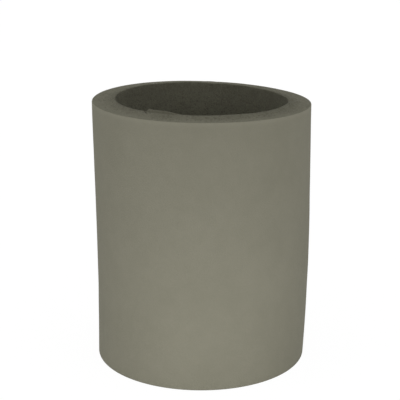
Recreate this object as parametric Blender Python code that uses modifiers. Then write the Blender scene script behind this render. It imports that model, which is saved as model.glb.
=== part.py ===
"""Can cooler sleeve: a thick round foam sleeve that keeps a drink cold.

A foam tube, open at the top, has a foam disc glued into its foot. The tube's axis is Z, it
stands on the plane z = 0, and the origin is the centre of its foot. Lengths are in metres.
"""
import math

import bpy

# The tube.
BORE_RADIUS = 0.0330        # a close grip on what is 66.2 mm across
WALL_THICKNESS = 0.0090     # 3/8 inch foam, squeezed a little
SLEEVE_HEIGHT = 0.1020
FOOT_DRAW_IN = 0.0005       # the outside is this much smaller in radius at the foot
DRAW_IN_POWER = 3.0         # more than 1 keeps the draw-in to the lower part
OUTER_RIM_EDGE = 0.0004     # radii that round the tube's edges
INNER_RIM_EDGE = 0.0004
OUTER_FOOT_EDGE = 0.0003

# The disc in the foot of the tube.
BASE_THICKNESS = 0.0090
GLUE_CLEARANCE = 0.0003     # all round the disc
BASE_EDGE = 0.0006          # radius that rounds the disc's edges
VENT_RADIUS = 0.0040        # the hole that lets the air out of the bore
VENT_EDGE = 0.0005

# How finely the turned shapes are divided.
TURN_STEPS = 96
WALL_STEPS = 8
EDGE_STEPS = 3
MERGE_DISTANCE = 0.0001

# The foam's look.
FOAM_COLOUR = (0.242, 0.235, 0.185, 1.0)
CUT_FOAM_COLOUR = (0.130, 0.130, 0.098, 1.0)
FOAM_ROUGHNESS = 0.9

OUTER_RADIUS = BORE_RADIUS + WALL_THICKNESS
BASE_RADIUS = BORE_RADIUS - GLUE_CLEARANCE


def clear_scene():
    for old_object in list(bpy.data.objects):
        bpy.data.objects.remove(old_object, do_unlink=True)


def new_collection(name):
    collection = bpy.data.collections.new(name)
    bpy.context.scene.collection.children.link(collection)
    return collection


def foam_material(name, colour):
    material = bpy.data.materials.new(name)
    material.use_nodes = True
    shader = material.node_tree.nodes["Principled BSDF"]
    shader.inputs["Base Color"].default_value = colour
    shader.inputs["Roughness"].default_value = FOAM_ROUGHNESS
    shader.inputs["Metallic"].default_value = 0.0
    material.diffuse_color = colour
    return material


def rounded_corner(centre_radius, centre_height, edge_radius, start_degrees, end_degrees):
    """Points of an arc in the section plane, from the start angle to the end angle."""
    points = []
    for step in range(EDGE_STEPS + 1):
        angle = math.radians(start_degrees + (end_degrees - start_degrees) * step / EDGE_STEPS)
        points.append((centre_radius + edge_radius * math.cos(angle),
                       centre_height + edge_radius * math.sin(angle)))
    return points


def outside_radius(height):
    """The tube's outer radius: straight at the rim, drawn in towards the foot."""
    way_down = 1.0 - height / SLEEVE_HEIGHT
    return OUTER_RADIUS - FOOT_DRAW_IN * way_down ** DRAW_IN_POWER


def wall_section():
    """Down the outside, across the foot, up the bore and across the rim."""
    foot_radius = outside_radius(0.0)
    top_of_side = SLEEVE_HEIGHT - OUTER_RIM_EDGE
    foot_of_side = OUTER_FOOT_EDGE
    section = rounded_corner(OUTER_RADIUS - OUTER_RIM_EDGE, top_of_side, OUTER_RIM_EDGE, 90, 0)
    for step in range(1, WALL_STEPS):
        height = top_of_side + (foot_of_side - top_of_side) * step / WALL_STEPS
        section.append((outside_radius(height), height))
    section += rounded_corner(foot_radius - OUTER_FOOT_EDGE, foot_of_side, OUTER_FOOT_EDGE, 0, -90)
    section.append((BORE_RADIUS, 0.0))
    section += rounded_corner(BORE_RADIUS + INNER_RIM_EDGE, SLEEVE_HEIGHT - INNER_RIM_EDGE,
                              INNER_RIM_EDGE, 180, 90)
    return section


def base_section():
    """Down the disc's edge, across its underside, up the vent and across its top."""
    section = rounded_corner(BASE_RADIUS - BASE_EDGE, BASE_THICKNESS - BASE_EDGE, BASE_EDGE, 90, 0)
    section += rounded_corner(BASE_RADIUS - BASE_EDGE, BASE_EDGE, BASE_EDGE, 0, -90)
    section += rounded_corner(VENT_RADIUS + VENT_EDGE, VENT_EDGE, VENT_EDGE, 270, 180)
    section += rounded_corner(VENT_RADIUS + VENT_EDGE, BASE_THICKNESS - VENT_EDGE, VENT_EDGE, 180, 90)
    return section


def turned_piece(name, section, material, collection, parent):
    """A closed section in the XZ plane, turned once round Z."""
    mesh = bpy.data.meshes.new(name)
    corners = [(radius, 0.0, height) for radius, height in section]
    edges = [(index, (index + 1) % len(corners)) for index in range(len(corners))]
    mesh.from_pydata(corners, edges, [])
    mesh.materials.append(material)
    piece = bpy.data.objects.new(name, mesh)
    piece.parent = parent
    collection.objects.link(piece)

    turn = piece.modifiers.new("Turn", "SCREW")
    turn.axis = "Z"
    turn.angle = math.tau
    turn.steps = TURN_STEPS
    turn.render_steps = TURN_STEPS
    turn.use_merge_vertices = True
    turn.merge_threshold = MERGE_DISTANCE
    turn.use_smooth_shade = True

    flat_faces = piece.modifiers.new("Keep flat faces flat", "WEIGHTED_NORMAL")
    flat_faces.mode = "FACE_AREA"
    return piece


def build():
    clear_scene()
    collection = new_collection("can_cooler_sleeve")
    stand = bpy.data.objects.new("sleeve_frame", None)
    collection.objects.link(stand)

    wall_foam = foam_material("wall_foam", FOAM_COLOUR)
    base_foam = foam_material("base_foam", CUT_FOAM_COLOUR)
    turned_piece("sleeve_wall", wall_section(), wall_foam, collection, stand)
    turned_piece("base_disc", base_section(), base_foam, collection, stand)


build()
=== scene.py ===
# %% [markdown]
# The object is a thick foam sleeve that keeps a drink cold. Two pieces of foam make it: a round
# wall, open at the top, and a disc that is glued into the wall's foot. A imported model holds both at
# their real size. This script reads that model, and makes a finer mesh and a material for each
# piece. Lengths are in metres, and the sleeve stands on the plane z = 0.

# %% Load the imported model
import math

import bpy
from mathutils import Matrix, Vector


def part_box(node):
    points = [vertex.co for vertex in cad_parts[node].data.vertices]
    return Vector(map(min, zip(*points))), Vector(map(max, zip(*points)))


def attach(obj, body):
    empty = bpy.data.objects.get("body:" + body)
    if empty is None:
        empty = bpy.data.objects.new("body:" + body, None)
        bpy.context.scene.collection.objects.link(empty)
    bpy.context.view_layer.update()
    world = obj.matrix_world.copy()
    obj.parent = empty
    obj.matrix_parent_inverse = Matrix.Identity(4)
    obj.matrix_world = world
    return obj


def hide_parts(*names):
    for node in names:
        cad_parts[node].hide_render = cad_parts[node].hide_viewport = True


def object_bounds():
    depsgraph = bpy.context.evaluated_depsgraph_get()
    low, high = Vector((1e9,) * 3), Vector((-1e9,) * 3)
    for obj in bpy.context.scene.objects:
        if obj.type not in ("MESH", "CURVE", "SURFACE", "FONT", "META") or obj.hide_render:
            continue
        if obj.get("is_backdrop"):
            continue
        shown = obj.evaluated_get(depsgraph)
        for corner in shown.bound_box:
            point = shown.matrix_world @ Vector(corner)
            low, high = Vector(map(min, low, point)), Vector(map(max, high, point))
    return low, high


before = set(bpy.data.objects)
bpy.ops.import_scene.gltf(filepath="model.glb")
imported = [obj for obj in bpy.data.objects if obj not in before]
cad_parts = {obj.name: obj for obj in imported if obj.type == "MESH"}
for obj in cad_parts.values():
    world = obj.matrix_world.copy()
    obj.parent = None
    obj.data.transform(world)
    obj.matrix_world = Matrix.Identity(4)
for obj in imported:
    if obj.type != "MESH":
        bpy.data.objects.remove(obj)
model_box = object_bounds()
print("pieces in the model:", sorted(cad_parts))

# %% [markdown]
# The model's boxes give the sizes that show from outside, so nothing here repeats them. What a box
# can't say is written down once: how thick the wall is, how wide the vent is, and how far each
# edge is rounded.

# %% Measure the pieces
wall_low, wall_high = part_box("sleeve_wall")
_, base_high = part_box("base_disc")
SLEEVE_RADIUS = (wall_high.x - wall_low.x) / 2
SLEEVE_HEIGHT = wall_high.z
BASE_THICKNESS = base_high.z
WALL_THICKNESS = 0.0090
BORE_RADIUS = SLEEVE_RADIUS - WALL_THICKNESS
VENT_RADIUS = 0.0040
FOOT_DRAW_IN = 0.0005       # the outside is this much smaller in radius at the foot
DRAW_IN_POWER = 3.0         # more than 1 keeps the draw-in to the lower part
OUTER_RIM_EDGE = 0.0004
INNER_RIM_EDGE = 0.0004
OUTER_FOOT_EDGE = 0.0003
BASE_EDGE = 0.0006
print(f"sleeve {SLEEVE_RADIUS * 2000:.1f} mm across and {SLEEVE_HEIGHT * 1000:.1f} mm high")

# %% [markdown]
# The camera stands where the photographer's did: a little above the sleeve, looking down by about
# sixteen degrees through a long lens. It could be aimed with a Track To constraint. Plain angles
# are clearer here, because a camera that was fitted to the sleeve's outline gave them.

# %% Camera
LENS_MM = 97.63
SENSOR_MM = 36.0
CAMERA_PLACE = (0.0, -0.4114, 0.1790)
CAMERA_PITCH_DOWN = 15.854  # degrees, as are the next two
CAMERA_ROLL = -0.093
CAMERA_TURN = 0.085

camera_data = bpy.data.cameras.new("photo_camera")
camera_data.lens = LENS_MM
camera_data.sensor_width = SENSOR_MM
camera_data.clip_start = 0.01
camera_data.clip_end = 50.0
camera = bpy.data.objects.new("photo_camera", camera_data)
camera.location = CAMERA_PLACE
camera.rotation_euler = (math.radians(90.0 - CAMERA_PITCH_DOWN),
                         math.radians(CAMERA_ROLL), math.radians(CAMERA_TURN))
bpy.context.scene.collection.objects.link(camera)
bpy.context.scene.camera = camera
print("camera at", CAMERA_PLACE)

# %% [markdown]
# Shader trees and geometry trees are both built from nodes, so the same helpers serve for both. The
# first makes a node group: a tree with named inputs and outputs, which any other tree can then use
# like one node. So each effect is built once, and gets its size where it is used.

# %% Helper: a node group
def new_group(name, kind, inputs, outputs):
    """A node group. inputs is a list of (name, socket type, default), outputs of (name, type)."""
    group = bpy.data.node_groups.new(name, kind)
    for socket_name, socket_type, value in inputs:
        socket = group.interface.new_socket(name=socket_name, in_out="INPUT", socket_type=socket_type)
        if value is not None:
            socket.default_value = value
    for socket_name, socket_type in outputs:
        group.interface.new_socket(name=socket_name, in_out="OUTPUT", socket_type=socket_type)
    return group, group.nodes.new("NodeGroupInput").outputs, group.nodes.new("NodeGroupOutput").inputs


print("helper: new_group")

# %% [markdown]
# The second helper holds one tree and writes nodes into it. Its put makes a node, sets its options
# and fills its inputs, each with a plain value or with another node's output. The rest do sums,
# because each sum needs a whole node of its own.

# %% Helper: nodes in a tree
class NodeWriter:
    """Writes nodes into one tree. Values are plain numbers or the outputs of other nodes."""

    def __init__(self, tree):
        self.tree = tree

    def put(self, kind, inputs=None, **options):
        """A new node. inputs maps an input's name or number to its value."""
        node = self.tree.nodes.new(kind)
        for name, value in options.items():
            setattr(node, name, value)
        for key, value in (inputs or {}).items():
            if isinstance(value, bpy.types.NodeSocket):
                self.tree.links.new(value, node.inputs[key])
            else:
                node.inputs[key].default_value = value
        return node

    def link(self, output, socket):
        self.tree.links.new(output, socket)

    def math(self, operation, first, second=0.0):
        """The output of one Math node."""
        return self.put("ShaderNodeMath", {0: first, 1: second}, operation=operation).outputs[0]

    def plus(self, total, *values):
        for value in values:
            total = self.math("ADD", total, value)
        return total

    def minus(self, total, *values):
        for value in values:
            total = self.math("SUBTRACT", total, value)
        return total

    def times(self, product, *values):
        for value in values:
            product = self.math("MULTIPLY", product, value)
        return product

    def ramp(self, value, low, high, to_low=0.0, to_high=1.0):
        """As value runs from low to high, the output runs smoothly from to_low to to_high."""
        inputs = {"Value": value, "From Min": low, "From Max": high,
                  "To Min": to_low, "To Max": to_high}
        return self.put("ShaderNodeMapRange", inputs, interpolation_type="SMOOTHSTEP").outputs["Result"]


print("helper: NodeWriter")

# %% [markdown]
# Two effects show on more than one foam surface, so each is a shader node group. The first is a
# soft mottle: foam is never one even tone, because its density changes from place to place. Noise
# on Object coordinates gives it, and its size is in metres, so the same group serves for broad
# clouds and for fine grain.

# %% Group: soft mottle
MOTTLE_DETAIL = 2.0
MOTTLE_LOW = 0.3            # noise below this gives a mask of 0
MOTTLE_HIGH = 0.7           # and noise above this gives a mask of 1

mottle_tree, mottle_in, mottle_out = new_group(
    "soft_mottle", "ShaderNodeTree",
    [("Vector", "NodeSocketVector", None), ("Size", "NodeSocketFloat", 0.01)],
    [("Mask", "NodeSocketFloat")])
mottle = NodeWriter(mottle_tree)
mottle_scale = mottle.math("DIVIDE", 1.0, mottle_in["Size"])
mottle_noise = mottle.put("ShaderNodeTexNoise", {"Vector": mottle_in["Vector"],
                                                 "Scale": mottle_scale, "Detail": MOTTLE_DETAIL})
mottle.link(mottle.ramp(mottle_noise.outputs["Fac"], MOTTLE_LOW, MOTTLE_HIGH), mottle_out["Mask"])
print("group:", mottle_tree.name)

# %% [markdown]
# The second group is the open cells of cut foam. Each cell was a bubble, and the saw left it open,
# so the surface is a net of thin walls round small dark hollows. A Voronoi texture has that form:
# its distance to the nearest cell edge is low on the walls and high in the hollows. A little noise
# on the coordinates keeps the walls from looking ruled.

# %% Group: open cells
CELL_WALL = 0.06            # half a wall's width, as a share of the cell
CELL_SLOPE = 0.20           # where a hollow reaches its full depth
CELL_BEND = 0.6             # how far the noise moves the walls, as a share of the cell
CELL_BEND_DETAIL = 1.0

cells_tree, cells_in, cells_out = new_group(
    "open_cells", "ShaderNodeTree",
    [("Vector", "NodeSocketVector", None), ("Cell Size", "NodeSocketFloat", 0.0005)],
    [("Hollow", "NodeSocketFloat"), ("Tone", "NodeSocketFloat")])
cells = NodeWriter(cells_tree)
cells_scale = cells.math("DIVIDE", 1.0, cells_in["Cell Size"])
cells_bend = cells.put("ShaderNodeTexNoise", {"Vector": cells_in["Vector"], "Scale": cells_scale,
                                              "Detail": CELL_BEND_DETAIL})
bend_size = cells.times(cells_in["Cell Size"], CELL_BEND)
cells_shift = cells.put("ShaderNodeVectorMath", {0: cells_bend.outputs["Color"], "Scale": bend_size},
                        operation="SCALE")
cells_place = cells.put("ShaderNodeVectorMath", {0: cells_in["Vector"], 1: cells_shift.outputs[0]},
                        operation="ADD").outputs[0]
net_input = {"Vector": cells_place, "Scale": cells_scale}
cells_net = cells.put("ShaderNodeTexVoronoi", net_input, feature="DISTANCE_TO_EDGE")
cells_each = cells.put("ShaderNodeTexVoronoi", net_input, feature="F1")
cells_tone = cells.put("ShaderNodeSeparateColor", {"Color": cells_each.outputs["Color"]})
cells.link(cells.ramp(cells_net.outputs["Distance"], CELL_WALL, CELL_SLOPE), cells_out["Hollow"])
cells.link(cells_tone.outputs["Red"], cells_out["Tone"])
print("group:", cells_tree.name)

# %% [markdown]
# Both materials start alike: a Principled shader, Object coordinates, and a mix between a light and
# a dark tone of the foam. Only what changes over the surface comes through nodes. A number that is
# the same everywhere, such as how weak the gloss is, is set on the shader's own socket.

# %% Material helpers
MIX_FIRST_COLOUR = 6        # a Mix node has sockets for several kinds of value, so these are numbers
MIX_SECOND_COLOUR = 7
MIX_COLOUR_RESULT = 2
FOAM_GLOSS = 0.25


def new_material(name):
    """A material, a writer for its tree, its shader and its Object coordinates."""
    material = bpy.data.materials.new(name)
    material.use_nodes = True
    shader = material.node_tree.nodes["Principled BSDF"]
    shader.inputs["Specular IOR Level"].default_value = FOAM_GLOSS
    writer = NodeWriter(material.node_tree)
    return material, writer, shader, writer.put("ShaderNodeTexCoord").outputs["Object"]


def colour_between(writer, share, first, second):
    """The first colour where share is 0 and the second where it is 1."""
    inputs = {0: share, MIX_FIRST_COLOUR: first, MIX_SECOND_COLOUR: second}
    return writer.put("ShaderNodeMix", inputs, data_type="RGBA").outputs[MIX_COLOUR_RESULT]


def mottle_of(writer, place, size):
    return writer.put("ShaderNodeGroup", {"Vector": place, "Size": size},
                      node_tree=mottle_tree).outputs["Mask"]


def cells_of(writer, place, size):
    return writer.put("ShaderNodeGroup", {"Vector": place, "Cell Size": size},
                      node_tree=cells_tree).outputs


def attribute_of(writer, name):
    return writer.put("ShaderNodeAttribute", attribute_name=name).outputs["Fac"]


print("helpers: new_material, colour_between, mottle_of, cells_of, attribute_of")

# %% [markdown]
# The outer skin formed against the mould, so its cells are closed and it is smooth and matt. It
# gets broad clouds of tone, smaller patches and a fine grain, and a bump of a few hundredths of a
# millimetre. A narrow band below the rim is painted lighter, a painted highlight on the rim's outer
# edge. An image texture would do the same, but it would have to be unwrapped, and it would run out
# of detail up close.

# %% Material: outer skin
SKIN_LIGHT = (0.256, 0.247, 0.190, 1.0)
SKIN_DARK = (0.232, 0.224, 0.170, 1.0)
SKIN_HIGHLIGHT = (0.300, 0.289, 0.223, 1.0)
HIGHLIGHT_SHARE = 0.38
HIGHLIGHT_WIDTH = 0.0024
SKIN_CLOUD_SIZE = 0.024
SKIN_CLOUD_SHARE = 0.44     # the three shares make 1, so that the tone runs from light to dark
SKIN_PATCH_SIZE = 0.0045
SKIN_PATCH_SHARE = 0.26
SKIN_GRAIN_SIZE = 0.00040
SKIN_GRAIN_SHARE = 0.30
SKIN_ROUGHNESS = (0.84, 0.94)
SKIN_BUMP = 0.00004

skin_material, skin, skin_shader, skin_place = new_material("foam_skin")
clouds = mottle_of(skin, skin_place, SKIN_CLOUD_SIZE)
patches = mottle_of(skin, skin_place, SKIN_PATCH_SIZE)
grain = mottle_of(skin, skin_place, SKIN_GRAIN_SIZE)
skin_tone = skin.plus(skin.times(clouds, SKIN_CLOUD_SHARE), skin.times(patches, SKIN_PATCH_SHARE),
                      skin.times(grain, SKIN_GRAIN_SHARE))
clean_skin = colour_between(skin, skin_tone, SKIN_LIGHT, SKIN_DARK)
# painted highlight: the skin is painted lighter in a narrow band just below the rim
painted_highlight = skin.ramp(attribute_of(skin, "level"), SLEEVE_HEIGHT - HIGHLIGHT_WIDTH, SLEEVE_HEIGHT,
                   0.0, HIGHLIGHT_SHARE)
skin.link(colour_between(skin, painted_highlight, clean_skin, SKIN_HIGHLIGHT), skin_shader.inputs["Base Color"])
skin.link(skin.ramp(grain, 0.0, 1.0, *SKIN_ROUGHNESS), skin_shader.inputs["Roughness"])
skin_bump = skin.put("ShaderNodeBump", {"Height": grain, "Distance": SKIN_BUMP, "Strength": 1.0})
skin.link(skin_bump.outputs["Normal"], skin_shader.inputs["Normal"])
print("material:", skin_material.name)

# %% [markdown]
# A cut face shows open cells, which hold shadow, so it looks darker though the foam is the same. The
# larger cells are real dents in the mesh. Each point of the mesh says how deep it lies in one, as an
# attribute named painted_hollow_shade, and the material paints shade by it, in the crease and the
# nick too. The second group adds the cells that are too small for the mesh. Deep in the bore the
# mesh is too coarse for the larger cells too, which an attribute named cells tells, and there the
# same group draws them.

# %% Material: cut foam, its cells
FINE_CELL_SIZE = 0.00042
FINE_CELL_TONE = 0.42       # each tone is how much darker its effect makes the foam
FINE_CELL_LUCK = 0.14       # each fine cell is a little darker or lighter than the next
DRAWN_CELL_SIZE = 0.0010
LARGE_CELL_TONE = 0.50
CUT_CLOUD_SIZE = 0.008
CUT_CLOUD_TONE = 0.16

cut_material, cut, cut_shader, cut_place = new_material("cut_foam")
fine_cells = cells_of(cut, cut_place, FINE_CELL_SIZE)
drawn_cells = cells_of(cut, cut_place, DRAWN_CELL_SIZE)
drawn_share = cut.minus(1.0, attribute_of(cut, "cells"))
drawn_depth = cut.times(drawn_share, cut.times(drawn_cells["Hollow"], drawn_cells["Tone"]))
large_depth = cut.plus(attribute_of(cut, "painted_hollow_shade"), drawn_depth)
cell_tone = cut.plus(cut.times(fine_cells["Hollow"], FINE_CELL_TONE),
                     cut.times(large_depth, LARGE_CELL_TONE),
                     cut.times(mottle_of(cut, cut_place, CUT_CLOUD_SIZE), CUT_CLOUD_TONE),
                     cut.times(fine_cells["Tone"], FINE_CELL_LUCK))
print("material so far:", cut_material.name)

# %% [markdown]
# The tone of the foam also changes over the whole piece, by painted light and shade. It is painted
# paler towards the skin, and painted darker towards the bore, over the rim and a little way down
# the bore. It is also painted a little paler on the left and darker on the right. The distance
# from the axis and the height tell where a point is.

# %% Material: cut foam, painted light and shade over the piece
OUTER_LIGHT_SHARE = 0.38          # how much paler the foam is at the skin
OUTER_LIGHT_WIDTH = 0.0070
BORE_SHADE_SHARE = 0.14           # how much darker it is at the bore
BORE_SHADE_WIDTH = 0.0018
RIM_SHADE_SHARE = 0.22           # how much darker still the rim is there
RIM_SHADE_WIDTH = 0.0055
RIM_SHADE_DEPTH = 0.0060         # how far down the bore the painted shade goes
SIDE_LIGHT_SHARE = 0.08      # how much paler the foam is on the left, and darker on the right

across_only = cut.put("ShaderNodeVectorMath", {0: cut_place, 1: (1.0, 1.0, 0.0)}, operation="MULTIPLY")
off_axis = cut.put("ShaderNodeVectorMath", {0: across_only.outputs[0]}, operation="LENGTH").outputs["Value"]
cut_parts = cut.put("ShaderNodeSeparateXYZ", {0: cut_place}).outputs
# painted light: the cut foam is painted paler towards the skin
painted_outer_light = cut.ramp(off_axis, SLEEVE_RADIUS - OUTER_LIGHT_WIDTH, SLEEVE_RADIUS, 0.0, -OUTER_LIGHT_SHARE)
# painted shade: the rim and the bore are painted darker towards the bore's edge
painted_bore_shade = cut.ramp(off_axis, BORE_RADIUS, BORE_RADIUS + BORE_SHADE_WIDTH, BORE_SHADE_SHARE, 0.0)
painted_rim_shade = cut.times(cut.ramp(off_axis, BORE_RADIUS, BORE_RADIUS + RIM_SHADE_WIDTH, RIM_SHADE_SHARE, 0.0),
                      cut.ramp(cut_parts["Z"], SLEEVE_HEIGHT - RIM_SHADE_DEPTH, SLEEVE_HEIGHT))
# painted light: the foam is painted paler on the left and darker on the right
painted_side_light = cut.ramp(cut_parts["X"], -SLEEVE_RADIUS, SLEEVE_RADIUS, -SIDE_LIGHT_SHARE, SIDE_LIGHT_SHARE)
cut_tone = cut.plus(cell_tone, painted_outer_light, painted_bore_shade, painted_rim_shade, painted_side_light)
print("tones: dense, bore, worn, side")

# %% [markdown]
# The tone now picks the colour and the roughness. The small cells also give a bump, which goes
# inwards, so the height that the Bump node reads is negative.

# %% Material: cut foam, its shader
CUT_WALL = (0.205, 0.199, 0.146, 1.0)
CUT_HOLLOW = (0.118, 0.114, 0.082, 1.0)
CUT_ROUGHNESS = (0.90, 1.0)
FINE_CELL_BUMP = 0.00010
DRAWN_CELL_BUMP = 2.0       # a drawn cell's depth, in fine cells
CUT_BUMP_STRENGTH = 0.8

cut.link(colour_between(cut, cut_tone, CUT_WALL, CUT_HOLLOW), cut_shader.inputs["Base Color"])
cut.link(cut.ramp(cut_tone, 0.0, 1.0, *CUT_ROUGHNESS), cut_shader.inputs["Roughness"])
bump_depth = cut.plus(fine_cells["Hollow"], cut.times(drawn_depth, DRAWN_CELL_BUMP))
cut_bump = cut.put("ShaderNodeBump", {"Height": cut.times(bump_depth, -1.0),
                                      "Distance": FINE_CELL_BUMP, "Strength": CUT_BUMP_STRENGTH})
cut.link(cut_bump.outputs["Normal"], cut_shader.inputs["Normal"])
print("material:", cut_material.name)

# %% [markdown]
# Both pieces are turned shapes: a closed section goes once round Z. The Screw modifier does that,
# but the soft departures, the dents and the open cells then need more steps. One Geometry Nodes
# tree does it all, and its named inputs are the sizes of these effects.

# %% Geometry tree: its inputs
foam_tree, foam_in, foam_out = new_group(
    "turned_foam", "GeometryNodeTree",
    [("Section", "NodeSocketGeometry", None), ("Steps Round", "NodeSocketInt", 64),
     ("Sleeve Height", "NodeSocketFloat", 0.1), ("Side Bow", "NodeSocketFloat", 0.0),
     ("Top Lean", "NodeSocketFloat", 0.0), ("Rim Rise", "NodeSocketFloat", 0.0),
     ("Rim Slope", "NodeSocketFloat", 0.0), ("Rim Nod", "NodeSocketFloat", 0.0),
     ("Rim Wave", "NodeSocketFloat", 0.0), ("Ragged Edge", "NodeSocketFloat", 0.0),
     ("Lip Wave", "NodeSocketFloat", 0.0), ("Torn Lip", "NodeSocketFloat", 0.0),
     ("Crease Depth", "NodeSocketFloat", 0.0), ("Nick Depth", "NodeSocketFloat", 0.0),
     ("Skin Wave", "NodeSocketFloat", 0.0), ("Saw Wave", "NodeSocketFloat", 0.0),
     ("Cell Size", "NodeSocketFloat", 0.001), ("Cell Depth", "NodeSocketFloat", 0.0),
     ("Skin", "NodeSocketMaterial", None), ("Cut Foam", "NodeSocketMaterial", None)],
    [("Foam", "NodeSocketGeometry")])
foam = NodeWriter(foam_tree)
print("tree:", foam_tree.name)

# %% [markdown]
# First the tree sweeps the section round a circle. The section's own place and the turn round the
# circle are captured before the sweep, so that the points can be put exactly where they belong
# afterwards.

# %% Geometry tree: sweep the section round Z
def capture(writer, geometry, kind, value):
    """Keeps a value on the geometry's points. Returns the geometry and the kept value."""
    node = writer.put("GeometryNodeCaptureAttribute")
    node.capture_items.new(kind, "kept")
    writer.link(geometry, node.inputs[0])
    writer.link(value, node.inputs[1])
    return node.outputs[0], node.outputs[1]


section_curve = foam.put("GeometryNodeMeshToCurve", {0: foam_in["Section"]}).outputs[0]
section_position = foam.put("GeometryNodeInputPosition").outputs[0]
section_curve, section_place = capture(foam, section_curve, "VECTOR", section_position)
circle = foam.put("GeometryNodeCurvePrimitiveCircle", {"Resolution": foam_in["Steps Round"]})
circle_factor = foam.put("GeometryNodeSplineParameter").outputs["Factor"]
circle_curve, turn = capture(foam, circle.outputs[0], "FLOAT", circle_factor)
swept = foam.put("GeometryNodeCurveToMesh", {0: circle_curve, 1: section_curve}).outputs[0]

angle = foam.times(turn, math.tau)
along_x = foam.math("COSINE", angle)
along_y = foam.math("SINE", angle)
section_parts = foam.put("ShaderNodeSeparateXYZ", {0: section_place}).outputs
radius = section_parts["X"]
height = section_parts["Z"]
turned_x = foam.times(radius, along_x)
turned_y = foam.times(radius, along_y)
print("nodes so far:", len(foam_tree.nodes))

# %% [markdown]
# Foam isn't as true as a turned metal tube. This sleeve bows a little to the right at half height,
# and its rim was cut out of square, so it is higher on the left. The fit of the camera gave these
# amounts, and they tell the eye that the thing is soft. The bow is a half wave of the way down,
# moved below the middle by a power. The rim's slope and wave grow with height, so the foot stays
# flat on the table. The disc gets the same numbers, so it stays in the middle of the bore.

# %% Geometry tree: bow and rim
SIDE_BOW = 0.00075          # the axis moves this far towards +X, a little below half height
BOW_POWER = 1.4             # more than 1 moves the bow down
TOP_LEAN = 0.00016          # the rim stands this far towards +X of the foot
RIM_RISE = 0.00018          # the whole rim stands this far above the model's
RIM_SLOPE = 0.0155          # fall of the rim for each metre towards +X
RIM_NOD = 0.0068            # rise of the rim for each metre towards +Y, the back
RIM_WAVE = 0.00023          # the rim's own rise and fall, twice round
RIM_WAVE_PHASE = 21.0       # degrees

way_up = foam.math("DIVIDE", height, foam_in["Sleeve Height"])
way_down = foam.math("MAXIMUM", foam.minus(1.0, way_up), 0.0)
bow_phase = foam.times(foam.math("POWER", way_down, BOW_POWER), math.pi)
bow = foam.times(foam.math("SINE", bow_phase), foam_in["Side Bow"])
sideways = foam.plus(bow, foam.times(way_up, foam_in["Top Lean"]))
twice_round = foam.plus(foam.times(angle, 2.0), math.radians(RIM_WAVE_PHASE))
rim_wave = foam.times(foam.math("SINE", twice_round), foam_in["Rim Wave"])
rim_slope = foam.times(turned_x, foam_in["Rim Slope"])
rim_rise = foam.plus(foam.times(turned_y, foam_in["Rim Nod"]), foam_in["Rim Rise"])
rim_fall = foam.minus(foam.plus(rim_slope, rim_wave), rim_rise)
soft_height = foam.minus(height, foam.times(rim_fall, way_up))
soft_place = foam.put("ShaderNodeCombineXYZ", {"X": foam.plus(turned_x, sideways), "Y": turned_y,
                                               "Z": soft_height}).outputs[0]
soft_shape = foam.put("GeometryNodeSetPosition", {"Geometry": swept, "Position": soft_place}).outputs[0]
print(f"bow {SIDE_BOW * 1000:.2f} mm, rim slope {math.degrees(RIM_SLOPE):.1f} degrees")

# %% [markdown]
# The bore's edge at the rim is torn, not ruled, because a knife or a wire drags the cells out. The
# section marks the points near that edge with a number named torn, which is 1 on the edge itself.
# Those points move in and out by quick noise, and up and down by slow noise.

# %% Geometry tree: ragged edge
RAGGED_EDGE = 0.00034       # the edge is torn in and out by up to this much
RAGGED_SIZE = 0.0026
RAGGED_DETAIL = 3.0
LIP_WAVE = 0.00035          # it also rises and falls slowly
LIP_WAVE_SIZE = 0.011
LIP_WAVE_DETAIL = 1.0
LIP_WAVE_SHIFT = (0.03, 0.0, 0.0)   # another part of the noise, so that the two differ
WIDE_POWER = 0.5            # less than 1 makes torn reach further from the edge


def noise_of(writer, size, detail, shift=(0.0, 0.0, 0.0)):
    """Noise from -1 to 1 on the points' place, for bumps of about that size."""
    position = writer.put("GeometryNodeInputPosition").outputs[0]
    place = writer.put("ShaderNodeVectorMath", {0: position, 1: shift}, operation="ADD").outputs[0]
    noise = writer.put("ShaderNodeTexNoise", {"Vector": place, "Scale": 1.0 / size, "Detail": detail})
    return writer.times(writer.minus(noise.outputs["Fac"], 0.5), 2.0)


def number_on_points(writer, name):
    return writer.put("GeometryNodeInputNamedAttribute", {"Name": name}, data_type="FLOAT").outputs[0]


torn = number_on_points(foam, "torn")
torn_widely = foam.math("POWER", torn, WIDE_POWER)
tear_out = foam.times(noise_of(foam, RAGGED_SIZE, RAGGED_DETAIL), foam_in["Ragged Edge"], torn)
lip_wave = foam.times(noise_of(foam, LIP_WAVE_SIZE, LIP_WAVE_DETAIL, LIP_WAVE_SHIFT),
                      foam_in["Lip Wave"], torn)
print("nodes so far:", len(foam_tree.nodes))

# %% [markdown]
# One place on that edge, at the left of the front, stands up as a thin flap that leans into the
# bore, with a crease along its foot. It starts steeply along a slanting line, and it falls away
# gently at its other end. Multiplying two ramps, one for each end, gives such a shape.

# %% Geometry tree: flap and crease
TORN_LIP = 0.00105          # how far the flap stands up
TORN_LIP_START = 233.3      # degrees from +X towards +Y, as are the next three
TORN_LIP_END = 253.0
START_RAMP = (-0.6, 0.8)    # it rises from here to here, counted from its start
END_RAMP = (-7.0, 7.0)      # and it falls from here to here, counted from its end
NICK_SLANT = 2400.0         # its start moves on by this many degrees for each metre outwards
FLAP_SHARE = 0.65           # this share of its rise is a thin flap, and the rest a broad bulge
FLAP_POWER = 3.0            # more than 1 keeps the flap close to the edge
FLAP_LEAN = 0.35            # for each millimetre that it rises, it leans this far into the bore
CREASE_DEPTH = 0.00015
CREASE_STARTS = (0.20, 0.36)        # the crease runs where torn lies between these two ramps
CREASE_ENDS = (0.50, 0.68)
CREASE_BAND = 0.0002        # it keeps this close to the rim's height

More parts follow.
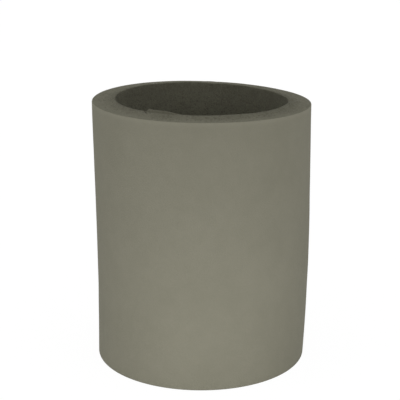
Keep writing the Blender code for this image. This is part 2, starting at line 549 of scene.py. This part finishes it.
degrees_round = foam.times(turn, 360.0)
off_bore = foam.minus(radius, BORE_RADIUS)
slanting_round = foam.minus(degrees_round, foam.times(off_bore, NICK_SLANT))
lip_starts = foam.ramp(slanting_round, *[TORN_LIP_START + degrees for degrees in START_RAMP])
lip_ends = foam.ramp(degrees_round, *[TORN_LIP_END + degrees for degrees in END_RAMP], 1.0, 0.0)
lip_shape = foam.times(lip_starts, lip_ends)
lip_height = foam.times(lip_shape, foam_in["Torn Lip"])
thin_flap = foam.times(foam.math("POWER", torn, FLAP_POWER), FLAP_SHARE)
broad_bulge = foam.times(torn_widely, 1.0 - FLAP_SHARE)
lip_rise = foam.times(lip_height, foam.plus(thin_flap, broad_bulge))
flap_lean = foam.times(lip_height, thin_flap, FLAP_LEAN / FLAP_SHARE)
on_rim = foam.math("GREATER_THAN", height, foam.minus(foam_in["Sleeve Height"], CREASE_BAND))
crease_band = foam.times(foam.ramp(torn, *CREASE_STARTS), foam.ramp(torn, *CREASE_ENDS, 1.0, 0.0))
crease_shape = foam.times(crease_band, on_rim, lip_shape)
crease_fall = foam.times(crease_shape, foam_in["Crease Depth"])
print("nodes so far:", len(foam_tree.nodes))

# %% [markdown]
# The flap starts at a nick, a narrow cut that slants outwards from the bore. Both are so thin that
# the dents of a later step would cut through them, so a number named calm marks where those stay
# out. Then all of these moves go on the torn edge at once: outwards along the radius, and up.

# %% Geometry tree: nick, and moving the edge
NICK_DEPTH = 0.00092
NICK_ANGLE = 230.9          # degrees, as is the next
NICK_HALF_WIDTH = 1.05
CALM_WIDTH = 2.5            # how far it is calm beside the nick, in the nick's half widths
TEAR_RISE = 0.5             # a tear rises by this share of how far it goes out

off_nick = foam.math("ABSOLUTE", foam.minus(slanting_round, NICK_ANGLE))
nick_shape = foam.times(foam.ramp(off_nick, 0.0, NICK_HALF_WIDTH, 1.0, 0.0), torn_widely)
nick_fall = foam.times(nick_shape, foam_in["Nick Depth"])
nick_near = foam.ramp(off_nick, NICK_HALF_WIDTH, CALM_WIDTH * NICK_HALF_WIDTH, 1.0, 0.0)
calm = foam.math("MINIMUM", 1.0, foam.times(foam.plus(nick_near, lip_shape), torn_widely))
edge_rise = foam.plus(lip_wave, foam.plus(lip_rise, foam.times(tear_out, TEAR_RISE)))
edge_rise = foam.minus(edge_rise, crease_fall, nick_fall)
edge_out = foam.minus(tear_out, flap_lean)
edge_move = foam.put("ShaderNodeCombineXYZ", {"X": foam.times(edge_out, along_x),
                                              "Y": foam.times(edge_out, along_y),
                                              "Z": edge_rise}).outputs[0]
torn_shape = foam.put("GeometryNodeSetPosition", {"Geometry": soft_shape, "Offset": edge_move}).outputs[0]
print("nodes so far:", len(foam_tree.nodes))

# %% [markdown]
# Now the surface itself. The skin gets soft dents, both ways. A cut face only goes inwards, so that
# nothing stands out below the foot. The saw left it slightly wavy, which slow noise gives.

# %% Geometry tree: dents and saw waves
SKIN_WAVE = 0.00016         # soft dents in the outer skin
SKIN_WAVE_SIZE = 0.020
SKIN_WAVE_DETAIL = 1.0
FOOT_CLEAR = 0.0040         # the dents fade out over this height, so that the foot stays flat
SAW_WAVE = 0.00022
SAW_WAVE_SIZE = 0.006
SAW_WAVE_DETAIL = 2.0

is_cut = number_on_points(foam, "cut")
is_skin = foam.minus(1.0, is_cut)
dent_size = foam.times(foam_in["Skin Wave"], foam.ramp(height, 0.0, FOOT_CLEAR))
dents = foam.times(noise_of(foam, SKIN_WAVE_SIZE, SKIN_WAVE_DETAIL), dent_size)
saw_noise = foam.plus(noise_of(foam, SAW_WAVE_SIZE, SAW_WAVE_DETAIL), 1.0)
saw = foam.times(saw_noise, 0.5, foam_in["Saw Wave"])
print("nodes so far:", len(foam_tree.nodes))

# %% [markdown]
# The largest open cells are real hollows. A hollow is deepest in the middle of a Voronoi cell, and
# each cell's own random number makes it deep or shallow. The points move along their normals, the
# skin both ways and the cut faces inwards, and less where it is calm.

# %% Geometry tree: open cells
CELL_SIZE = 0.00095
CELL_DEPTH = 0.00032
HOLLOW_FLOOR = 0.10         # up to this far from its middle a hollow is at its deepest
HOLLOW_EDGE = 0.60          # and here it ends, both as shares of the cell
SHALLOWEST = 0.2            # the shallowest cell's share of the depth
CALM_SHARE = 0.92           # how much of the roughness a calm place loses

cell_scale = foam.math("DIVIDE", 1.0, foam_in["Cell Size"])
bubble = foam.put("ShaderNodeTexVoronoi", {"Scale": cell_scale}, feature="F1").outputs
bubble_luck = foam.put("ShaderNodeSeparateXYZ", {0: bubble["Color"]}).outputs["X"]
hollow = foam.ramp(bubble["Distance"], HOLLOW_FLOOR, HOLLOW_EDGE, 1.0, 0.0)
cell_share = foam.times(hollow, foam.ramp(bubble_luck, 0.0, 1.0, SHALLOWEST, 1.0),
                        number_on_points(foam, "cells"))
cell_drop = foam.times(cell_share, foam_in["Cell Depth"])
rough_share = foam.times(is_cut, foam.minus(1.0, foam.times(calm, CALM_SHARE)))
cut_drop = foam.times(foam.plus(saw, cell_drop), rough_share)
outwards = foam.minus(foam.times(dents, is_skin), cut_drop)
surface_normal = foam.put("GeometryNodeInputNormal").outputs[0]
surface_move = foam.put("ShaderNodeVectorMath", {0: surface_normal, "Scale": outwards},
                        operation="SCALE").outputs[0]
print("nodes so far:", len(foam_tree.nodes))

# %% [markdown]
# Two numbers are stored on the points for the materials. One is painted shade: how deep a point
# lies in a cell, the crease or the nick, which the material paints darker. The other is its level in
# the section, which the rim's slope doesn't change. The tree ends with the materials: every face is
# skin, and then each face whose corners are all on a cut face is cut foam. That gives the crisp line
# where the skin stops at the rim.

# %% Geometry tree: numbers for the materials, and the materials
NICK_SHADE = 2.0            # painted shade: the nick is painted this many times as dark as a deep cell
ALL_CUT = 0.75              # the mean of a face's four corners is above this only if all are cut

# painted shade: the cells, the crease and the nick are painted darker by this number
painted_hollow_shade = foam.plus(foam.times(cell_share, is_cut),
                         foam.plus(crease_shape, foam.times(nick_shape, NICK_SHADE)))
numbered = torn_shape
for number_name, number in (("painted_hollow_shade", painted_hollow_shade), ("level", height)):
    numbered = foam.put("GeometryNodeStoreNamedAttribute",
                        {"Geometry": numbered, "Name": number_name, "Value": number},
                        data_type="FLOAT").outputs[0]
rough_shape = foam.put("GeometryNodeSetPosition", {"Geometry": numbered, "Offset": surface_move}).outputs[0]
smooth = foam.put("GeometryNodeSetShadeSmooth", {0: rough_shape}).outputs[0]
real = foam.put("GeometryNodeRealizeInstances", {0: smooth}).outputs[0]
with_skin = foam.put("GeometryNodeSetMaterial", {"Geometry": real, "Material": foam_in["Skin"]}).outputs[0]
with_both = foam.put("GeometryNodeSetMaterial", {"Geometry": with_skin, "Material": foam_in["Cut Foam"],
                                                 "Selection": foam.math("GREATER_THAN", is_cut, ALL_CUT)})
foam.link(with_both.outputs[0], foam_out["Foam"])
print("nodes in all:", len(foam_tree.nodes))

# %% [markdown]
# A section is a list of points in the XZ plane. Each point has its radius, its height and three
# shares: cut is 1 on a cut face, cells is 1 where the mesh is fine enough for open cells, and torn
# is 1 on the torn edge. Straight stretches are divided evenly or more finely at one end, because
# the rim needs far smaller faces than the side, and corners are arcs.

# %% Section helpers
SKIN = (0.0, 0.0, 0.0)
CUT = (1.0, 1.0, 0.0)
SMOOTH_CUT = (1.0, 0.0, 0.0)


def straight(start, end, steps, crowd=1.0, shares=CUT):
    """Points after start, up to end. crowd above 1 crowds them near start."""
    points = []
    for step in range(1, steps + 1):
        way = (step / steps) ** crowd
        points.append((start[0] + (end[0] - start[0]) * way,
                       start[1] + (end[1] - start[1]) * way, *shares))
    return points


def corner(centre, edge_radius, start_degrees, end_degrees, steps, shares=CUT):
    """Points along an arc, both ends included."""
    points = []
    for step in range(steps + 1):
        turned = math.radians(start_degrees + (end_degrees - start_degrees) * step / steps)
        points.append((centre[0] + edge_radius * math.cos(turned),
                       centre[1] + edge_radius * math.sin(turned), *shares))
    return points


def near(distance, reach):
    """1 where distance is nothing, and 0 from reach on."""
    return max(0.0, 1.0 - distance / reach) ** 2


print("helpers: straight, corner, near")

# %% [markdown]
# The helper below puts a section and the tree together. The section becomes a mesh of points and
# edges, with its three shares as attributes. The tree's inputs are set by their identifiers before
# the object is first evaluated. The result is taken as a plain mesh, and the generator is removed.

# %% Make a turned foam piece
SHARED_SETTINGS = {
    "Sleeve Height": SLEEVE_HEIGHT, "Side Bow": SIDE_BOW, "Top Lean": TOP_LEAN,
    "Rim Rise": RIM_RISE, "Rim Slope": RIM_SLOPE, "Rim Nod": RIM_NOD, "Rim Wave": RIM_WAVE,
    "Skin Wave": SKIN_WAVE, "Saw Wave": SAW_WAVE, "Cell Size": CELL_SIZE, "Cell Depth": CELL_DEPTH,
    "Skin": skin_material, "Cut Foam": cut_material}


def section_mesh(name, section):
    """A mesh of the section's points and edges, with the three shares as attributes."""
    count = len(section)
    mesh = bpy.data.meshes.new(name)
    mesh.from_pydata([(point[0], 0.0, point[1]) for point in section],
                     [(index, (index + 1) % count) for index in range(count)], [])
    for column, share_name in ((2, "cut"), (3, "cells"), (4, "torn")):
        shares = mesh.attributes.new(share_name, "FLOAT", "POINT")
        shares.data.foreach_set("value", [point[column] for point in section])
    return mesh


def turned_foam(name, section, settings):
    """A new object: the section turned into foam by the tree, with these settings."""
    generator = bpy.data.objects.new(name + "_generator", section_mesh(name + "_section", section))
    bpy.context.scene.collection.objects.link(generator)
    modifier = generator.modifiers.new("foam", "NODES")
    modifier.node_group = foam_tree
    for item in foam_tree.interface.items_tree:
        if item.in_out == "INPUT" and item.name in settings:
            modifier[item.identifier] = settings[item.name]
    evaluated = generator.evaluated_get(bpy.context.evaluated_depsgraph_get())
    mesh = bpy.data.meshes.new_from_object(evaluated)
    bpy.data.objects.remove(generator)
    mesh.name = name
    piece = bpy.data.objects.new(name, mesh)
    bpy.context.scene.collection.objects.link(piece)
    print(f"{name}: {len(section)} points in the section, {2 * len(mesh.polygons)} triangles")
    return piece


print("settings for both pieces:", len(SHARED_SETTINGS))

# %% [markdown]
# The wall's section goes down the outside, across the foot, up the bore and over the rim. The skin
# stops on the rim's outer edge, where the saw cut it off. The outside draws in a little towards the
# foot.

# %% Wall section: side and foot
SKIN_ENDS = 62.0            # degrees up the rim's outer edge, where the saw cut the skin off
CORNER_STEPS = 4
SKIN_EDGE_STEPS = 3
SIDE_STEPS = 36
FOOT_STEPS = 12


def outside_radius(level):
    return SLEEVE_RADIUS - FOOT_DRAW_IN * (1.0 - level / SLEEVE_HEIGHT) ** DRAW_IN_POWER


def side_and_foot():
    """Points from the rim's outer edge down the skin, and across the foot to the bore."""
    side_top = SLEEVE_HEIGHT - OUTER_RIM_EDGE
    rim_edge_centre = (SLEEVE_RADIUS - OUTER_RIM_EDGE, side_top)
    points = corner(rim_edge_centre, OUTER_RIM_EDGE, 90, SKIN_ENDS, steps=1, shares=SMOOTH_CUT)
    points += corner(rim_edge_centre, OUTER_RIM_EDGE, SKIN_ENDS, 0, SKIN_EDGE_STEPS, SKIN)[1:]
    side = straight((0.0, side_top), (0.0, OUTER_FOOT_EDGE), SIDE_STEPS, shares=SKIN)[:-1]
    for _, level, *shares in side:
        points.append((outside_radius(level), level, *shares))
    foot_edge_centre = (outside_radius(0.0) - OUTER_FOOT_EDGE, OUTER_FOOT_EDGE)
    points += corner(foot_edge_centre, OUTER_FOOT_EDGE, 0, -90, CORNER_STEPS, SKIN)
    return points + straight(points[-1], (BORE_RADIUS, 0.0), FOOT_STEPS)


print(f"foot {outside_radius(0.0) * 2000:.1f} mm across")

# %% [markdown]
# The bore's edge stands above the outer edge, as foam does where things have rubbed past it. The
# bore's points crowd together near the rim, where the camera sees into it, and its modelled cells
# fade out where the points get too far apart for them. Right at the bore's edge the cells are
# shallow as well, because deep ones from both sides of the edge would cut through each other.

# %% Wall section: bore
RIM_LIP = 0.00085           # how far the bore's edge stands above the outer edge
CELLS_REACH = 0.009         # how far down the bore the modelled cells go
SHALLOW_REACH = 0.0012      # how far from the bore's edge they are shallow
SHALLOW_SHARE = 0.7         # how much of their depth they lose right at the edge
TEAR_REACH = 0.0028         # how far from the bore's edge its tears go
BORE_STEPS = 54
BORE_CROWD = 1.7
LIP_TOP = SLEEVE_HEIGHT + RIM_LIP
BORE_TOP = LIP_TOP - INNER_RIM_EDGE


def cells_at(off_edge):
    """The share of their depth that the cells have, this far from the bore's edge."""
    return 1.0 - SHALLOW_SHARE * near(off_edge, SHALLOW_REACH)


def bore_side():
    """Points up the bore."""
    points = []
    bore = straight((BORE_RADIUS, BORE_TOP), (BORE_RADIUS, 0.0), BORE_STEPS, BORE_CROWD)[:-1]
    for out, level, is_cut_face, _, _ in reversed(bore):
        depth = BORE_TOP - level
        points.append((out, level, is_cut_face, near(depth, CELLS_REACH) * cells_at(depth),
                       near(depth, TEAR_REACH)))
    return points


print(f"lip {RIM_LIP * 1000:.2f} mm high")

# %% [markdown]
# The rim goes round the bore's edge, comes down from it in a smooth curve, and runs level to the
# outer edge. Its points crowd together near the bore too, where the tears are.

# %% Wall section: rim
LIP_WIDTH = 0.0056          # how far out from the bore the rim has come down
RIM_STEPS = 28
RIM_CROWD = 1.3


def lip_fall(off_edge):
    """How far the rim has come down, this far out from the bore's edge."""
    way = min(1.0, off_edge / LIP_WIDTH)
    return RIM_LIP * way * way * (3.0 - 2.0 * way)


def rim_top():
    """Points over the bore's edge and out across the rim."""
    points = []
    rim = corner((BORE_RADIUS + INNER_RIM_EDGE, BORE_TOP), INNER_RIM_EDGE, 180, 90, CORNER_STEPS)
    rim += straight(rim[-1], (SLEEVE_RADIUS - OUTER_RIM_EDGE, LIP_TOP), RIM_STEPS, RIM_CROWD)[:-1]
    for out, level, is_cut_face, _, _ in rim:
        from_bore = out - BORE_RADIUS
        off_edge = max(0.0, from_bore - INNER_RIM_EDGE)
        points.append((out, level - lip_fall(off_edge), is_cut_face, cells_at(off_edge),
                       near(from_bore, TEAR_REACH)))
    return points


print(f"rim {WALL_THICKNESS * 1000:.1f} mm wide")

# %% [markdown]
# The tree turns that section into the wall. The wall then takes the place of the model's plain one,
# which is hidden, and it rides on the same body.

# %% Wall
WALL_STEPS_ROUND = 690

wall = turned_foam("sleeve_wall_foam", side_and_foot() + bore_side() + rim_top(),
                   {**SHARED_SETTINGS, "Steps Round": WALL_STEPS_ROUND, "Torn Lip": TORN_LIP,
                    "Crease Depth": CREASE_DEPTH, "Nick Depth": NICK_DEPTH,
                    "Lip Wave": LIP_WAVE, "Ragged Edge": RAGGED_EDGE})
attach(wall, "root")
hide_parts("sleeve_wall")

# %% [markdown]
# The disc was punched from the same foam sheet, so every face of it is cut. It was squeezed into
# the bore with glue, so its edge goes a little way into the wall and no gap shows round it. Its
# vent lets the air out of the bore. It is the same kind of section: down the edge, across the
# underside, up the vent, and out across the top.

# %% Base disc
DISC_SQUEEZE = 0.0006       # how far the disc's edge goes into the wall
DISC_RADIUS = BORE_RADIUS + DISC_SQUEEZE
DISC_EDGE_STEPS = 12
UNDERSIDE_STEPS = 50
VENT_STEPS = 16
TOP_STEPS = 60
DISC_STEPS_ROUND = 480


def base_section():
    edge_centre = DISC_RADIUS - BASE_EDGE
    vent_centre = VENT_RADIUS + BASE_EDGE
    high = BASE_THICKNESS - BASE_EDGE
    points = corner((edge_centre, high), BASE_EDGE, 90, 0, CORNER_STEPS)
    points += straight((DISC_RADIUS, high), (DISC_RADIUS, BASE_EDGE), DISC_EDGE_STEPS)[:-1]
    points += corner((edge_centre, BASE_EDGE), BASE_EDGE, 0, -90, CORNER_STEPS)
    points += straight((edge_centre, 0.0), (vent_centre, 0.0), UNDERSIDE_STEPS)[:-1]
    points += corner((vent_centre, BASE_EDGE), BASE_EDGE, 270, 180, CORNER_STEPS)
    points += straight((VENT_RADIUS, BASE_EDGE), (VENT_RADIUS, high), VENT_STEPS)[:-1]
    points += corner((vent_centre, high), BASE_EDGE, 180, 90, CORNER_STEPS)
    points += straight((vent_centre, BASE_THICKNESS), (edge_centre, BASE_THICKNESS), TOP_STEPS)[:-1]
    return points


base = turned_foam("base_disc_foam", base_section(),
                   {**SHARED_SETTINGS, "Steps Round": DISC_STEPS_ROUND, "Skin": cut_material})
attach(base, "root")
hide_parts("base_disc")

# %% [markdown]
# The photograph has a plain white background. The floor is a large pale plane, and camera rays see
# most of it as plain white, so that it needs no extra light. What is left of its own shading keeps
# the sleeve's soft shadow. Right under the sleeve the floor keeps all of its own shading, because
# it shows there through the vent, and it lies in the dark.

# %% Floor
FLOOR_SIZE = 12.0
FLOOR_COLOUR = (0.86, 0.86, 0.86, 1.0)
FLOOR_WHITE = 1.06          # 1 is white, and a little more makes up for the matt part
FLOOR_WHITE_SHARE = 0.90


def seen_directly(writer):
    """1 for rays from the camera, from a mirror or through glass, and 0 for rays that light things."""
    rays = writer.put("ShaderNodeLightPath").outputs
    mirror_or_glass = writer.math("MAXIMUM", rays["Is Glossy Ray"], rays["Is Transmission Ray"])
    return writer.math("MAXIMUM", rays["Is Camera Ray"], mirror_or_glass)


floor_material = bpy.data.materials.new("pale_floor")
floor_material.use_nodes = True
floor_material.node_tree.nodes.clear()
pale = NodeWriter(floor_material.node_tree)
floor_matt = pale.put("ShaderNodeBsdfDiffuse", {"Color": FLOOR_COLOUR}).outputs[0]
floor_white = pale.put("ShaderNodeEmission", {"Strength": FLOOR_WHITE}).outputs[0]
floor_place = pale.put("ShaderNodeTexCoord").outputs["Object"]
off_centre = pale.put("ShaderNodeVectorMath", {0: floor_place}, operation="LENGTH").outputs["Value"]
in_the_open = pale.math("GREATER_THAN", off_centre, BORE_RADIUS)
white_share = pale.times(seen_directly(pale), pale.times(in_the_open, FLOOR_WHITE_SHARE))
floor_mix = pale.put("ShaderNodeMixShader", {0: white_share, 1: floor_matt, 2: floor_white})
pale.put("ShaderNodeOutputMaterial", {"Surface": floor_mix.outputs[0]})

bpy.ops.mesh.primitive_plane_add(size=FLOOR_SIZE)
floor = bpy.context.active_object
floor.name = "floor"
floor.data.materials.append(floor_material)
floor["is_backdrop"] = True
print("floor:", FLOOR_SIZE, "m")

# %% [markdown]
# The light is a plain soft studio. Most of it is an even white world, which mirrors and the camera
# see at plain white.

# %% World
WORLD_STRENGTH = 0.597
WHITE = (1.0, 1.0, 1.0, 1.0)

world = bpy.data.worlds.new("studio")
bpy.context.scene.world = world
world.use_nodes = True
world.node_tree.nodes.clear()
studio = NodeWriter(world.node_tree)
lighting = studio.put("ShaderNodeBackground", {"Color": WHITE, "Strength": WORLD_STRENGTH}).outputs[0]
backdrop = studio.put("ShaderNodeBackground", {"Color": WHITE, "Strength": 1.0}).outputs[0]
world_mix = studio.put("ShaderNodeMixShader", {0: seen_directly(studio), 1: lighting, 2: backdrop})
studio.put("ShaderNodeOutputWorld", {"Surface": world_mix.outputs[0]})
print("world strength", WORLD_STRENGTH)

# %% [markdown]
# A large lamp near the camera adds soft shading to the sides. A low strip near the foot does what a
# white card laid before the sleeve would do, and lifts the wall towards the foot, as in the
# photograph. It stands just below what the camera sees, and it is hidden from camera rays, so it
# doesn't show from the sides either.

# %% Lamps
LAMP_SIZE = (0.7, 0.7)
LAMP_PLACE = (0.0, -1.30, 0.20)
LAMP_AIM = (0.0, 0.0, 0.05)
LAMP_WATTS = 2.4
STRIP_SIZE = (0.30, 0.026)
STRIP_PLACE = (0.0, -0.12, 0.017)
STRIP_AIM = (0.0, 0.0, 0.017)
STRIP_WATTS = 0.043


def soft_lamp(name, size, place, aim, watts):
    """A rectangular lamp that looks from its place at its aim and isn't seen itself."""
    data = bpy.data.lights.new(name, "AREA")
    data.shape = "RECTANGLE"
    data.size, data.size_y = size
    data.energy = watts
    lamp = bpy.data.objects.new(name, data)
    lamp.location = place
    lamp.rotation_euler = (Vector(aim) - Vector(place)).to_track_quat("-Z", "Y").to_euler()
    lamp.visible_camera = False
    bpy.context.scene.collection.objects.link(lamp)


soft_lamp("front_lamp", LAMP_SIZE, LAMP_PLACE, LAMP_AIM, LAMP_WATTS)
soft_lamp("low_strip", STRIP_SIZE, STRIP_PLACE, STRIP_AIM, STRIP_WATTS)
bpy.context.scene.view_settings.view_transform = "Standard"
print("lamps at", LAMP_PLACE, "and", STRIP_PLACE)

# %% [markdown]
# Last, the script writes the model's box and the finished pieces' box side by side, so that a
# piece that grew out of its model would show.

# %% Sizes
piece_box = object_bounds()
for title, box in (("model box", model_box), ("piece box", piece_box)):
    print(title, [tuple(round(length * 1000, 1) for length in corner_point) for corner_point in box])
